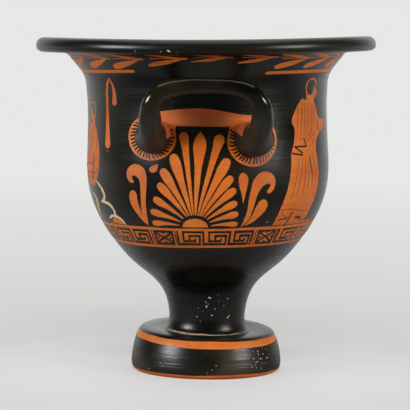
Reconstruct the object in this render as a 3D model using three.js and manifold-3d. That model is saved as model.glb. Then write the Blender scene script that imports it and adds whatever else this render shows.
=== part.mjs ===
// A two-handled bell krater of fired clay: a wide mixing bowl on a narrow stem and a disc foot, with a
// thick overhanging lip and two round handles that stand out from the wall and turn up towards the lip.
// Foot, stem, bowl, lip and handles were joined while the clay was soft, so they are one solid.
// Millimetres, +Z up, origin on the ground under the middle of the lip. The handles face -Y and +Y.
import * as THREE from "three";
import { mergeVertices } from "three/addons/utils/BufferGeometryUtils.js";
import Module from "manifold-3d";

const wasm = await Module();
wasm.setup();

// Driving dimensions.
const HEIGHT = 300;
const LIP_RADIUS = 152.6;
const LIP_DEPTH = 12.5;
const WALL_RADIUS = 108;
const WALL_THICKNESS = 7;
const STEM_RADIUS = 34.2;
const FOOT_RADIUS = 67.8;
const FOOT_HEIGHT = 37;
const HANDLE_RADIUS = 7;
const LATHE_STEPS = 64;

// The unevenness of hand work: the foot is thicker at the back and on the -X side, the vessel leans on it,
// its axis bends, and its lip sags over the handles.
const FOOT_TIP = 0.04;
const FOOT_LEAN = -0.022;
const LEAN = Math.tan(THREE.MathUtils.degToRad(1));
const LEAN_HEIGHT = 40;
const BEND = 2.4;
const BEND_TURNS_Z = 170;
const LIP_SAG = 1.5;
const SAG_STARTS_Z = 255;

const clay = new THREE.MeshStandardMaterial({ color: 0x17191a, roughness: 0.3, metalness: 0 });
clay.name = "black_gloss";

// The hollow under the foot, from its top down to the inner edge of the standing ring.
const HOLLOW = [
  [0, 46],
  [12, 43],
  [21, 31],
  [30, 16],
  [40, 9],
  [FOOT_RADIUS - 20, 5],
  [FOOT_RADIUS - 15, 0],
];

// The foot's side, from the outer edge of the standing ring up over its shoulder.
const FOOT_SIDE = [
  [FOOT_RADIUS - 4, 0],
  [FOOT_RADIUS - 1.3, 1.8],
  [FOOT_RADIUS, 7.5],
  [FOOT_RADIUS - 1.1, 18],
  [FOOT_RADIUS - 3.2, 27],
  [FOOT_RADIUS - 5.5, FOOT_HEIGHT - 3.6],
  [FOOT_RADIUS - 8, FOOT_HEIGHT - 0.4],
  [FOOT_RADIUS - 11.5, FOOT_HEIGHT + 0.6],
  [FOOT_RADIUS - 20, FOOT_HEIGHT + 0.6],
];

// From the ring where the stem meets the foot up to the underside of the lip.
const WALL_OUTLINE = [
  [STEM_RADIUS + 4, FOOT_HEIGHT - 0.4],
  [STEM_RADIUS + 1.2, 40.5],
  [STEM_RADIUS, 51],
  [STEM_RADIUS + 3.9, 68.5],
  [STEM_RADIUS + 13.6, 83],
  [WALL_RADIUS - 36, 104],
  [WALL_RADIUS - 14.8, 131.5],
  [WALL_RADIUS - 3, 157],
  [WALL_RADIUS + 1, 181],
  [WALL_RADIUS + 0.1, 213],
  [WALL_RADIUS - 0.3, 236],
  [WALL_RADIUS + 0.2, 251],
  [WALL_RADIUS + 3.6, 267],
  [LIP_RADIUS - 31.2, 281.5],
  [LIP_RADIUS - 28.2, 285.2],
  [LIP_RADIUS - 24, 287.1],
  [LIP_RADIUS - 17, HEIGHT - LIP_DEPTH],
];

// The lip: flat below, rounded outside, dished on top down to the mouth.
const LIP_OUTLINE = [
  [LIP_RADIUS - 4, HEIGHT - LIP_DEPTH + 0.2],
  [LIP_RADIUS - 1, HEIGHT - LIP_DEPTH + 2],
  [LIP_RADIUS, HEIGHT - LIP_DEPTH + 5.5],
  [LIP_RADIUS - 1.2, HEIGHT - 3],
  [LIP_RADIUS - 4.5, HEIGHT - 0.4],
  [LIP_RADIUS - 9, HEIGHT - 0.4],
  [LIP_RADIUS - 18, HEIGHT - 3.4],
];

// The inside of the bowl, from the flare down to the middle of its floor.
const BOWL_OUTLINE = [
  [LIP_RADIUS - 30, HEIGHT - 8.6],
  [LIP_RADIUS - 38.5, 284.5],
  [WALL_RADIUS - WALL_THICKNESS + 3.4, 269],
  [WALL_RADIUS - WALL_THICKNESS, 249],
  [WALL_RADIUS - WALL_THICKNESS, 215],
  [WALL_RADIUS - WALL_THICKNESS + 0.9, 181],
  [WALL_RADIUS - WALL_THICKNESS - 3, 158],
  [WALL_RADIUS - 21.5, 135],
  [WALL_RADIUS - 43, 110.5],
  [38, 99],
  [0, 96],
];

// Centreline of a handle, from inside the wall at one root, out and up over the arch, to the other root.
const HANDLE_LINE = [
  [-45.6, -94.6, 214.5],
  [-48.2, -104, 215],
  [-50, -119, 217.4],
  [-50.8, -133, 224],
  [-50.2, -144, 235],
  [-48, -149.2, 245],
  [-42.5, -150, 253],
  [-33, -149, 258.2],
  [-16, -147.6, 261.2],
  [0, -147.4, 261.6],
  [16, -147.6, 260.9],
  [31, -148.4, 258],
  [41, -149.6, 252.4],
  [46, -148.8, 244.5],
  [48.2, -142.6, 233],
  [47.2, -132.6, 222.4],
  [44.6, -118.5, 215.4],
  [41.4, -105.6, 212.8],
  [38.2, -97.4, 212.5],
];
const HANDLE_STEPS = 30;
const HANDLE_SIDES = 12;
const ROOT_SPREAD = 8;
const SPREAD_STARTS = 4;
const SPREAD_ENDS = 34;
const ROOT_WEB = 5;
const WEB_BOTTOM_Z = 212;
const WEB_TOP_Z = 250;

function smoothed(stations, count) {
  const curve = new THREE.SplineCurve(stations.map(([r, z]) => new THREE.Vector2(r, z)));
  return curve.getSpacedPoints(count);
}

// The whole outline that the wheel turns, from the top of the hollow round to the floor of the bowl.
function outline() {
  const parts = [
    smoothed(HOLLOW, 7),
    smoothed(FOOT_SIDE, 9),
    smoothed(WALL_OUTLINE, 23),
    smoothed(LIP_OUTLINE, 7),
    smoothed(BOWL_OUTLINE, 15),
  ];
  const points = parts.flat();
  points[0].x = 0;
  points[points.length - 1].x = 0;
  return points;
}

// Moves a point as the potter's hand did. The underside of the foot stays flat on the ground.
function byHand(p) {
  const reach = Math.hypot(p.x, p.y);
  const around = reach > 1 ? (p.x * p.x - p.y * p.y) / (reach * reach) : 0;
  const sag = LIP_SAG * THREE.MathUtils.smoothstep(p.z, SAG_STARTS_Z, HEIGHT) * around;
  const leaning = THREE.MathUtils.smoothstep(p.z, FOOT_HEIGHT, FOOT_HEIGHT + LEAN_HEIGHT);
  const bend = (z) => BEND * ((z - BEND_TURNS_Z) / BEND_TURNS_Z) ** 2;
  const onFoot = THREE.MathUtils.smoothstep(p.z, 6, 34) * (1 - THREE.MathUtils.smoothstep(p.z, 40, 85));
  const rise = LEAN * p.x * leaning + (FOOT_TIP * p.y + FOOT_LEAN * p.x) * onFoot;
  p.x += bend(HEIGHT) - bend(p.z) + LEAN * (HEIGHT - p.z);
  p.z += sag + rise;
}

function solid(geometry) {
  geometry.deleteAttribute("normal");
  geometry.deleteAttribute("uv");
  const merged = mergeVertices(geometry, 1e-3);
  const place = merged.attributes.position;
  const point = new THREE.Vector3();
  for (let i = 0; i < place.count; i++) {
    point.fromBufferAttribute(place, i);
    byHand(point);
    place.setXYZ(i, point.x, point.y, point.z);
  }
  const faces = new Uint32Array(merged.index.array);
  return new wasm.Manifold(new wasm.Mesh({ numProp: 3, vertProperties: place.array, triVerts: faces }));
}

function turnedBody() {
  const geometry = new THREE.LatheGeometry(outline(), LATHE_STEPS);
  geometry.rotateX(Math.PI / 2);
  return solid(geometry);
}

// A round bar along the centreline, which spreads where each end is smoothed on to the wall.
function handle(turn) {
  const line = new THREE.CatmullRomCurve3(HANDLE_LINE.map((p) => new THREE.Vector3(...p)));
  const section = new THREE.Shape();
  section.absarc(0, 0, HANDLE_RADIUS, 0, 2 * Math.PI);
  const geometry = new THREE.ExtrudeGeometry(section, {
    steps: HANDLE_STEPS,
    curveSegments: HANDLE_SIDES / 2,
    bevelEnabled: false,
    extrudePath: line,
  });
  spreadRoots(geometry, line);
  geometry.rotateZ(turn);
  return solid(geometry);
}

// Each end spreads evenly towards the wall, and the sides that face each other carry a web above it.
function spreadRoots(geometry, line) {
  const centres = line.getSpacedPoints(HANDLE_STEPS);
  const place = geometry.attributes.position;
  const point = new THREE.Vector3();
  const step = THREE.MathUtils.smoothstep;
  for (let i = 0; i < place.count; i++) {
    point.fromBufferAttribute(place, i);
    const centre = centres.reduce((a, b) => (a.distanceTo(point) < b.distanceTo(point) ? a : b));
    const offWall = Math.hypot(centre.x, centre.y) - WALL_RADIUS;
    const cone = ROOT_SPREAD * (1 - step(offWall, SPREAD_STARTS, SPREAD_ENDS));
    const inner = Math.max(((centre.x - point.x) * Math.sign(centre.x)) / HANDLE_RADIUS, 0);
    const high = 1 - step(centre.z, WEB_TOP_Z - 18, WEB_TOP_Z);
    const web = ROOT_WEB * inner * step(centre.z, WEB_BOTTOM_Z, WEB_BOTTOM_Z + 12) * high;
    point.sub(centre).multiplyScalar(1 + (cone + web) / HANDLE_RADIUS).add(centre);
    place.setXYZ(i, point.x, point.y, point.z);
  }
}

function asMesh(name, made) {
  const { vertProperties, triVerts } = made.getMesh();
  const geometry = new THREE.BufferGeometry();
  geometry.setAttribute("position", new THREE.BufferAttribute(vertProperties, 3));
  geometry.setIndex(new THREE.BufferAttribute(triVerts, 1));
  geometry.computeVertexNormals();
  const mesh = new THREE.Mesh(geometry, clay);
  mesh.name = name;
  return mesh;
}

const krater = new THREE.Group();
krater.add(asMesh("krater", turnedBody().add(handle(0)).add(handle(Math.PI))));

export default krater;
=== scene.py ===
import math

import bpy
import numpy as np
from mathutils import Matrix, Vector
from mathutils.geometry import delaunay_2d_cdt


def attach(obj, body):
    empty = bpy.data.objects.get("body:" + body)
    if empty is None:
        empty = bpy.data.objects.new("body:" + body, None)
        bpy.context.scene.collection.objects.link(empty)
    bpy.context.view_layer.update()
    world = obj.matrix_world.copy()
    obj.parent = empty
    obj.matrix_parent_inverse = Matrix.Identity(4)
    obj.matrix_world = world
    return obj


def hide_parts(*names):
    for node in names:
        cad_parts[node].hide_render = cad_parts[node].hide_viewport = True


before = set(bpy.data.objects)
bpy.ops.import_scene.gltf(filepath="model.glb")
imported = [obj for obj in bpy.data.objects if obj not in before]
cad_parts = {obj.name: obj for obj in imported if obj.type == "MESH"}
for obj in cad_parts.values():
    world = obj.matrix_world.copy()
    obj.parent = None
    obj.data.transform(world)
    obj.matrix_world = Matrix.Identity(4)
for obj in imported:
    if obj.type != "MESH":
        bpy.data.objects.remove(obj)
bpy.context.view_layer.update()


# ----------------------------------------------------------------------------------------------------
# The clay body
# One turned vessel of orange clay: a disc foot with a hollow under it, a stem, a deep bowl with a wall
# 7 mm thick, and a heavy lip. It was thrown on a wheel in parts that were luted together leather-hard
# and fired once. The potter's hand left it leaning on its foot and a little bent.

height = 0.300
lip_radius = 0.1526
lip_depth = 0.0125
wall_radius = 0.108
wall_thickness = 0.007
stem_radius = 0.0342
foot_radius = 0.0678
foot_height = 0.037
steps_round = 160

foot_tip = 0.040
foot_lean = -0.022
lean = math.tan(math.radians(1.0))
lean_height = 0.040
bend = 0.0024
bend_turns = 0.170
lip_sag = 0.0015
sag_starts = 0.255

hollow_stations = [(0, 0.046), (0.012, 0.043), (0.021, 0.031), (0.030, 0.016), (0.040, 0.009),
                   (foot_radius - 0.020, 0.005), (foot_radius - 0.015, 0)]
foot_stations = [(foot_radius - 0.004, 0), (foot_radius - 0.0013, 0.0018), (foot_radius, 0.0075),
                 (foot_radius - 0.0011, 0.018), (foot_radius - 0.0032, 0.027),
                 (foot_radius - 0.0055, 0.0334), (foot_radius - 0.0080, foot_height - 0.0004),
                 (foot_radius - 0.0115, foot_height + 0.0006), (foot_radius - 0.020, foot_height + 0.0006),
                 (stem_radius + 0.0046, foot_height - 0.0008)]
wall_stations = [(stem_radius + 0.0034, foot_height), (stem_radius + 0.0012, 0.0405), (stem_radius, 0.051),
                 (stem_radius + 0.0039, 0.0685), (stem_radius + 0.0136, 0.083), (wall_radius - 0.036, 0.104),
                 (wall_radius - 0.0148, 0.1315), (wall_radius - 0.003, 0.157), (wall_radius + 0.001, 0.181),
                 (wall_radius + 0.0001, 0.213), (wall_radius - 0.0003, 0.236), (wall_radius + 0.0002, 0.251),
                 (wall_radius + 0.0024, 0.267), (lip_radius - 0.0312, 0.2815), (lip_radius - 0.0282, 0.2852),
                 (lip_radius - 0.024, 0.2871), (lip_radius - 0.017, height - lip_depth)]
lip_stations = [(lip_radius - 0.004, height - lip_depth + 0.0002),
                (lip_radius - 0.001, height - lip_depth + 0.002),
                (lip_radius, height - lip_depth + 0.0055), (lip_radius - 0.0012, height - 0.003),
                (lip_radius - 0.0045, height - 0.0004), (lip_radius - 0.009, height - 0.0004),
                (lip_radius - 0.018, height - 0.0034)]
bowl_radius = wall_radius - wall_thickness
bowl_stations = [(lip_radius - 0.030, height - 0.0086), (lip_radius - 0.0385, 0.2845),
                 (bowl_radius + 0.0034, 0.269), (bowl_radius, 0.249), (bowl_radius, 0.215),
                 (bowl_radius + 0.0009, 0.181), (bowl_radius - 0.003, 0.158),
                 (wall_radius - 0.0215, 0.135), (wall_radius - 0.043, 0.1105), (0.038, 0.099), (0, 0.096)]


def smooth_line(stations, spacing, closed=False):
    """A Catmull-Rom line through the stations, in steps near the spacing. A doubled one makes a corner."""
    at = np.array(stations, float)
    if closed:
        before, after, ahead = np.roll(at, 1, 0), np.roll(at, -2, 0), np.roll(at, -1, 0)
    else:
        before, after, ahead = np.vstack([at[:1], at[:-2]]), np.vstack([at[2:], at[-1:]]), at[1:]
    spans = []
    for p0, p1, p2, p3 in zip(before, at, ahead, after):
        length = np.linalg.norm((p2 - p1)[:2])
        if length > 0:
            t = (np.arange(max(round(length / spacing), 1)) / max(round(length / spacing), 1))[:, None]
            m1, m2 = (p2 - p0) / 2, (p3 - p1) / 2
            cubic, square = 2 * p1 - 2 * p2 + m1 + m2, 3 * (p2 - p1) - 2 * m1 - m2
            spans.append(cubic * t**3 + square * t**2 + m1 * t + p1)
    return np.vstack(spans if closed else spans + [at[-1:]])


hollow_line = smooth_line(hollow_stations, 0.005)
outside_line = np.vstack([smooth_line(foot_stations, 0.0024), smooth_line(wall_stations, 0.0042)])
outer_line = np.vstack([outside_line, smooth_line(lip_stations, 0.0013), smooth_line(bowl_stations, 0.0062)])


def smooth_step(value, start, end):
    t = np.clip((value - start) / (end - start), 0, 1)
    return t * t * (3 - 2 * t)


def by_hand(points):
    """Moves points of the true turned shape to where the potter's hand left them."""
    x, y, z = points.T
    reach = np.maximum(x * x + y * y, 1e-6)
    sag = lip_sag * smooth_step(z, sag_starts, height) * (x * x - y * y) / reach
    rise = lean * x * smooth_step(z, foot_height, foot_height + lean_height)
    on_foot = smooth_step(z, 0.006, 0.034) * (1 - smooth_step(z, 0.040, 0.085))
    rise += (foot_tip * y + foot_lean * x) * on_foot
    bent = ((height - bend_turns) / bend_turns) ** 2 - ((z - bend_turns) / bend_turns) ** 2
    return np.column_stack([x + bend * bent + lean * (height - z), y, z + sag + rise])


def new_tree(name, sockets):
    """An empty geometry tree with named inputs, its input node and a short way to add and join nodes."""
    tree = bpy.data.node_groups.new(name, "GeometryNodeTree")
    tree.interface.new_socket("Geometry", in_out="INPUT", socket_type="NodeSocketGeometry")
    for label, kind in sockets:
        tree.interface.new_socket(label, in_out="INPUT", socket_type="NodeSocket" + kind)
    tree.interface.new_socket("Geometry", in_out="OUTPUT", socket_type="NodeSocketGeometry")

    def add(kind, *values, **settings):
        node = tree.nodes.new(kind)
        for key, value in settings.items():
            setattr(node, key, value)
        open_slots = [slot for slot in node.inputs if slot.enabled]
        for slot, value in zip(open_slots, values):
            if isinstance(value, bpy.types.NodeSocket):
                tree.links.new(value, slot)
            elif value is not None:
                slot.default_value = value
        return node

    def maths(operation, *values):
        return add("ShaderNodeMath", *values, operation=operation).outputs[0]

    given = tree.nodes.new("NodeGroupInput").outputs
    return tree, given, add, maths


def close_tree(tree, add, geometry, material):
    """Ends a tree as every tree here ends: instances made real, then the material."""
    real = add("GeometryNodeRealizeInstances", geometry)
    coated = add("GeometryNodeSetMaterial", real.outputs[0], None, material)
    add("NodeGroupOutput", coated.outputs[0])


def grow(name, base, tree, values, placed=False):
    """Runs a tree on a base mesh. Gives its plain mesh, bent as the potter's hand did if not yet placed."""
    piece = bpy.data.objects.new(name, base)
    bpy.context.scene.collection.objects.link(piece)
    modifier = piece.modifiers.new(name, "NODES")
    modifier.node_group = tree
    for item in tree.interface.items_tree:
        if item.in_out == "INPUT" and item.name in values:
            modifier[item.identifier] = values[item.name]
    seen = piece.evaluated_get(bpy.context.evaluated_depsgraph_get())
    mesh = bpy.data.meshes.new_from_object(seen)
    mesh.name = name
    piece.modifiers.clear()
    piece.data = mesh
    if not placed:
        place = np.zeros(len(mesh.vertices) * 3)
        mesh.vertices.foreach_get("co", place)
        mesh.vertices.foreach_set("co", by_hand(place.reshape(-1, 3)).ravel())
        mesh.update()
    return piece


def line_mesh(name, points):
    mesh = bpy.data.meshes.new(name)
    mesh.from_pydata([tuple(p) for p in points], [(i, i + 1) for i in range(len(points) - 1)], [])
    return mesh


def turning_tree():
    """Turns the outline that it is given, a line in the XZ plane, once round the wheel's axis."""
    tree, given, add, maths = new_tree("Turning", [("Steps round", "Int"), ("Material", "Material")])
    outline = given["Geometry"]
    count = add("GeometryNodeAttributeDomainSize", outline).outputs["Point Count"]
    columns = maths("ADD", given["Steps round"], 1)
    grid = add("GeometryNodeMeshGrid", 1, 1, columns, count).outputs["Mesh"]
    index = add("GeometryNodeInputIndex").outputs[0]
    column = maths("FLOOR", maths("DIVIDE", maths("ADD", index, 0.5), count))
    row = maths("SUBTRACT", index, maths("MULTIPLY", column, count))
    place = add("GeometryNodeInputPosition").outputs[0]
    station = add("GeometryNodeSampleIndex", outline, place, row, data_type="FLOAT_VECTOR").outputs[0]
    radius, _, level = add("ShaderNodeSeparateXYZ", station).outputs
    turn = maths("MULTIPLY", maths("DIVIDE", column, given["Steps round"]), math.tau)
    along_x = maths("MULTIPLY", radius, maths("MULTIPLY", maths("SINE", turn), -1))
    along_y = maths("MULTIPLY", radius, maths("COSINE", turn))
    there = add("ShaderNodeCombineXYZ", along_x, along_y, level).outputs[0]
    turned = add("GeometryNodeSetPosition", grid, None, there).outputs[0]
    closed = add("GeometryNodeMergeByDistance", turned, None, 1e-6).outputs[0]
    smooth = add("GeometryNodeSetShadeSmooth", closed, None, True).outputs[0]
    close_tree(tree, add, smooth, given["Material"])
    return tree


def new_material(name):
    """A material with its nodes cleared down to one shader, and a short way to add and join nodes."""
    material = bpy.data.materials.new(name)
    material.use_nodes = True
    nodes, links = material.node_tree.nodes, material.node_tree.links
    shader = nodes["Principled BSDF"]

    def add(kind, inputs=(), **settings):
        node = nodes.new(kind)
        for key, value in settings.items():
            setattr(node, key, value)
        for key, value in dict(inputs).items():
            if isinstance(value, bpy.types.NodeSocket):
                links.new(value, node.inputs[key])
            else:
                node.inputs[key].default_value = value
        return node

    def noise(scale, detail=2.0, stretch=(1, 1, 1), seed=0.0):
        spot = add("ShaderNodeMapping", {"Vector": add("ShaderNodeTexCoord").outputs["Object"],
                                         "Scale": stretch, "Location": (seed, seed * 0.7, seed * 1.3)})
        return add("ShaderNodeTexNoise", {"Vector": spot.outputs[0], "Scale": scale,
                                          "Detail": detail}).outputs[0]

    def ramp(value, *stops):
        node = add("ShaderNodeValToRGB", {"Fac": value})
        band = node.color_ramp
        while len(band.elements) < len(stops):
            band.elements.new(0.5)
        for element, (position, colour) in zip(band.elements, stops):
            element.position = position
            element.color = tuple(colour) + (1,) if len(colour) == 3 else (colour[0],) * 3 + (1,)
        return node.outputs[0]

    def mix(amount, one, other):
        node = add("ShaderNodeMix", {"Factor": amount}, data_type="RGBA")
        for slot, value in zip((node.inputs[6], node.inputs[7]), (one, other)):
            if isinstance(value, bpy.types.NodeSocket):
                links.new(value, slot)
            else:
                slot.default_value = tuple(value) + (1,)
        return node.outputs[2]

    def bump(height_socket, strength, distance, under=None):
        node = add("ShaderNodeBump", {"Height": height_socket, "Strength": strength, "Distance": distance})
        if under is not None:
            links.new(under, node.inputs["Normal"])
        return node.outputs[0]

    return material, shader, links, add, noise, ramp, mix, bump


def clay_material():
    """Orange fired clay with a satin wash: cloudy, faintly streaked by the wheel, with darker specks, and
    painted shade on the panel behind each handle.
    """
    material, shader, links, add, noise, ramp, mix, bump = new_material("fired_clay")
    clouds = ramp(noise(26, 5), (0.30, (0.56, 0.118, 0.012)), (0.52, (0.67, 0.162, 0.018)),
                  (0.75, (0.76, 0.215, 0.031)))
    streaks = noise(60, 3, stretch=(0.3, 0.3, 5), seed=2.0)
    streaked = mix(ramp(streaks, (0.45, (0,)), (0.7, (0.45,))), clouds, (0.44, 0.080, 0.008))
    specks = ramp(noise(900, 2, seed=5.0), (0.66, (0,)), (0.74, (0.6,)))
    x, y, z = add("ShaderNodeSeparateXYZ", {0: add("ShaderNodeTexCoord").outputs["Object"]}).outputs
    # Painted shade: the bare panel behind each handle, under the handle's arch, is darkened as if in its
    # shadow.
    beside = ramp(add("ShaderNodeMath", {0: x}, operation="ABSOLUTE").outputs[0], (0.018, (1,)),
                  (0.042, (0,)))
    painted_panel_shade = mix(ramp(z, (0.2245, (0,)), (0.235, (0.93,)), (0.25, (0.93,)), (0.26, (0,))), (0, 0, 0),
                   beside)
    shaded = mix(painted_panel_shade, mix(specks, streaked, (0.16, 0.045, 0.015)), (0.16, 0.022, 0.001))
    links.new(shaded, shader.inputs["Base Color"])
    links.new(ramp(noise(110, 4, seed=8.0), (0.3, (0.42,)), (0.7, (0.60,))), shader.inputs["Roughness"])
    grain = bump(noise(1300, 3), 0.25, 0.0002)
    links.new(bump(streaks, 0.20, 0.0006, grain), shader.inputs["Normal"])
    shader.inputs["Specular IOR Level"].default_value = 0.45
    return material


fired_clay = clay_material()
whole_line = np.vstack([hollow_line, outer_line])
clay_body = grow("clay_body", line_mesh("outline", [(r, 0, z) for r, z in whole_line]), turning_tree(),
                 {"Steps round": steps_round, "Material": fired_clay})
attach(clay_body, "root")
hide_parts("krater")


# ----------------------------------------------------------------------------------------------------
# The black gloss slip and the pictures
# The whole vessel but its underside was brushed with fine dark slip, which fired to a black gloss. The
# ornaments and figures are areas left bare in it. Their inner lines are thinned slip, fired brown, and a
# few details were laid on in white and yellow. All of it is a skin a tenth of a millimetre thick.

slip_lift = 0.00012
slip_root = 0.00013
girth = math.tau * wall_radius * 1000
climb = np.r_[0, np.cumsum(np.linalg.norm(np.diff(outer_line, axis=0), axis=1))] * 1000
brush = np.random.default_rng(11)
coats = [("gloss", np.array([(-girth / 2, 0), (girth / 2, 0), (girth / 2, climb[-1]),
                             (-girth / 2, climb[-1])]))]


def climb_to(level):
    """How far up the outside line a level lies, both in mm."""
    return np.interp(level, outside_line[:, 1] * 1000, climb[:len(outside_line)])


def paint(kind, outline, around=0.0, mirror=1, level=None):
    """Lays one area on the wall. Its outline is in mm: the arc from the front handle, and the level."""
    at = np.array(outline, float) * (mirror, 1) + (around, 0)
    ahead = np.roll(at, -1, 0)
    cuts = np.maximum(np.ceil(np.linalg.norm(ahead - at, axis=1) / 2.5), 1).astype(int)
    fine = np.vstack([a + (b - a) * np.arange(n)[:, None] / n for a, b, n in zip(at, ahead, cuts)])
    rise = climb_to(fine[:, 1]) if level is None else climb_to(level) + fine[:, 1]
    laid = np.column_stack([fine[:, 0], rise])
    area = np.sum(laid[:, 0] * np.roll(rise, -1) - np.roll(laid[:, 0], -1) * rise)
    laid = laid if area > 0 else laid[::-1]
    for turn in (-girth, 0, girth):
        if laid[:, 0].min() + turn < girth / 2 and laid[:, 0].max() + turn > -girth / 2:
            coats.append((kind, laid + (turn, 0)))


def shape(*points, spacing=1.3):
    return smooth_line(points, spacing, closed=True)


def stroke(points, widths, spacing=1.5):
    """The outline of a brush stroke along a smooth line, as wide at each point as is given."""
    widths = np.broadcast_to(widths, len(points))
    line = smooth_line([(*p, w) for p, w in zip(points, widths)], spacing)
    along = np.gradient(line[:, :2], axis=0)
    along /= np.linalg.norm(along, axis=1)[:, None]
    across = np.column_stack([-along[:, 1], along[:, 0]])
    half = line[:, 2:] / 2
    bow = np.radians([60, 30, 0, -30, -60])[:, None]
    end = line[-1, :2] + half[-1] * (np.cos(bow) * along[-1] - np.sin(bow) * across[-1])
    start = line[0, :2] - half[0] * (np.cos(bow) * along[0] - np.sin(bow) * across[0])
    outline = np.vstack([line[:, :2] - across * half, end, (line[:, :2] + across * half)[::-1], start])
    apart = np.linalg.norm(outline - np.roll(outline, 1, 0), axis=1) > 0.02
    return outline[apart]


def rule(kind, points, width, around=0.0, mirror=1):
    """Straight strokes from point to point, each a little uneven."""
    for one, other in zip(np.array(points, float)[:-1], np.array(points, float)[1:]):
        along = (other - one) / np.linalg.norm(other - one) * width / 2
        across = np.array([-along[1], along[0]])
        corners = [one - along - across, other + along - across, other + along + across, one - along + across]
        paint(kind, corners + brush.normal(0, 0.06 * width, (4, 2)), around, mirror)


def picture(areas, around, mirror):
    """Lays areas in order: brush strokes where widths are given, and closed smooth shapes where none are."""
    for kind, points, *widths in areas:
        paint(kind, stroke(points, *widths) if widths else shape(*points), around, mirror)


def band(kind, low, high):
    """A band all round the vessel with slightly wavering edges."""
    turns = np.arange(-1, 122)
    angle = math.tau * turns / 120
    at = girth * (turns / 120 - 0.5)
    waver = (0.30 * np.sin(2 * angle + low) + 0.16 * np.sin(5 * angle + 2 * low)
             + 0.10 * np.sin(11 * angle + high))
    shiver = (0.28 * np.sin(3 * angle + high) + 0.16 * np.sin(7 * angle + low)
              + 0.10 * np.sin(13 * angle + high))
    paint(kind, np.vstack([np.column_stack([at, low + waver]), np.column_stack([at, high + shiver])[::-1]]))


# The foot: a bare edge below, a bare band on the shoulder and a ring scraped bare at the stem.
band("clay", -4, 3.8)
band("clay", 29.6, 35.4)
band("worn", 36.9, 37.7)


# The laurel wreath under the lip, its leaves in pairs along a stalk and smaller over the handles.
def laurel(count, level):
    for i in range(count):
        root = girth * (i / count - 0.5) + 17 + brush.uniform(-1, 1)
        root -= 9 * smooth_step(-root, -20, 70) * (1 - smooth_step(-root, 200, 320))
        root += 8 * smooth_step(root, 20, 70) * (1 - smooth_step(root, 200, 320))
        off_handle = abs((root - 22 + girth / 4) % (girth / 2) - girth / 4)
        full = smooth_step(off_handle, 22, 52)
        drop = 0.4 + 0.6 * full
        here = level + 2.2 * (1 - full)
        low = 1.5 + 5.0 * full
        paint("clay", stroke([(root, 0), (root - 13, -1.2 - 3.4 * drop), (root - 25, -2.0 - 6.2 * drop),
                              (root - 28, -2.6 - 6.6 * drop)], [0.6, 3.6 + 1.8 * full, low, low * 0.75]),
              level=here)
        paint("clay", stroke([(root, 0.4), (root - 13, 2.8), (root - 25, 6.4), (root - 28, 7.2)],
                             [0.6, 3.8, 4.8, 3.4]), level=here)
        paint("clay", stroke([(root + 2, 0.2), (root - 12, 0.5), (root - 26, 0.1)], [2.2, 1.1, 0.9]),
              level=here)


laurel(22, 283.0)
for start, end, first in ((51, 272, 270.8), (-63, -275, 272.4)):
    paint("clay", stroke([(start, first), (start * 0.7 + end * 0.3, 271.2), (end, 270.6)], [2.6, 2.9, 2.5]))


# The key pattern: a bare band with black keys, three to each square that holds a cross and four dots.
def key_pattern(low, high, squares, shares):
    band("clay", low - 3.4, high + 3.9)
    tall = high - low
    for left, right in zip(squares, squares[1:] + [squares[0] + girth]):
        edges = left + 15.2 + (right - left - 32.0) * np.r_[0, np.cumsum(shares)]
        for start, end in zip(edges[:-1], edges[1:]):
            def spot(across, up):
                return (start + (end - start) * across, low + tall * up)
            rule("gloss", [spot(0, 1), spot(0, 0), spot(0.86, 0), spot(0.86, 0.70), spot(0.46, 0.70),
                           spot(0.46, 0.36)], 2.0)
            rule("gloss", [spot(1, 0), spot(1, 1), spot(0.22, 1), spot(0.22, 0.25), spot(0.66, 0.25),
                           spot(0.68, 0.38)], 2.0)
        for at in (left - 13.2, left + 12.9):
            rule("gloss", [(at, low - 0.4), (at, high + 0.4)], 1.0)
        box = [(left - 9.8, high), (left + 9.6, high), (left + 9.6, low), (left - 9.8, low),
               (left - 9.8, high)]
        rule("gloss", box, 2.1)
        rule("gloss", [(left - 7.6, high - 1.9), (left + 7.4, low + 1.9)], 1.8)
        rule("gloss", [(left - 7.6, low + 1.9), (left + 7.4, high - 1.9)], 1.8)
        for dx, dz in ((0, 4.1), (0, -4.1), (6.6, 0), (-6.8, 0)):
            paint("gloss", shape(*[(left + dx + 1.5 * math.cos(t), (low + high) / 2 + dz + 1.3 * math.sin(t))
                                   for t in np.radians(range(30, 390, 120))]))


squares = [-46.2, 63.1] + [63.1 + 113.86 * k for k in (1, 2, 3, 4)]
key_pattern(122.3, 133.4, squares, (0.34, 0.35, 0.31))


# A palmette under each handle, with volutes, leaves and drops beside it.
petals = [(0, 83, 11.2), (11.2, 83.4, 9.4), (-9.8, 82.6, 8.6), (20.6, 67, 9.0), (-19, 66.4, 9.2),
          (30, 55.6, 7.8), (-31.2, 58.2, 8.6), (40.5, 49.6, 7.2), (-42, 49.8, 7.8), (53.5, 44, 6.8),
          (-58, 45, 7.2), (67, 42, 6.4), (-74.5, 44.4, 6.6), (80, 41, 5.0), (-88.5, 43, 5.4)]


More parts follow.
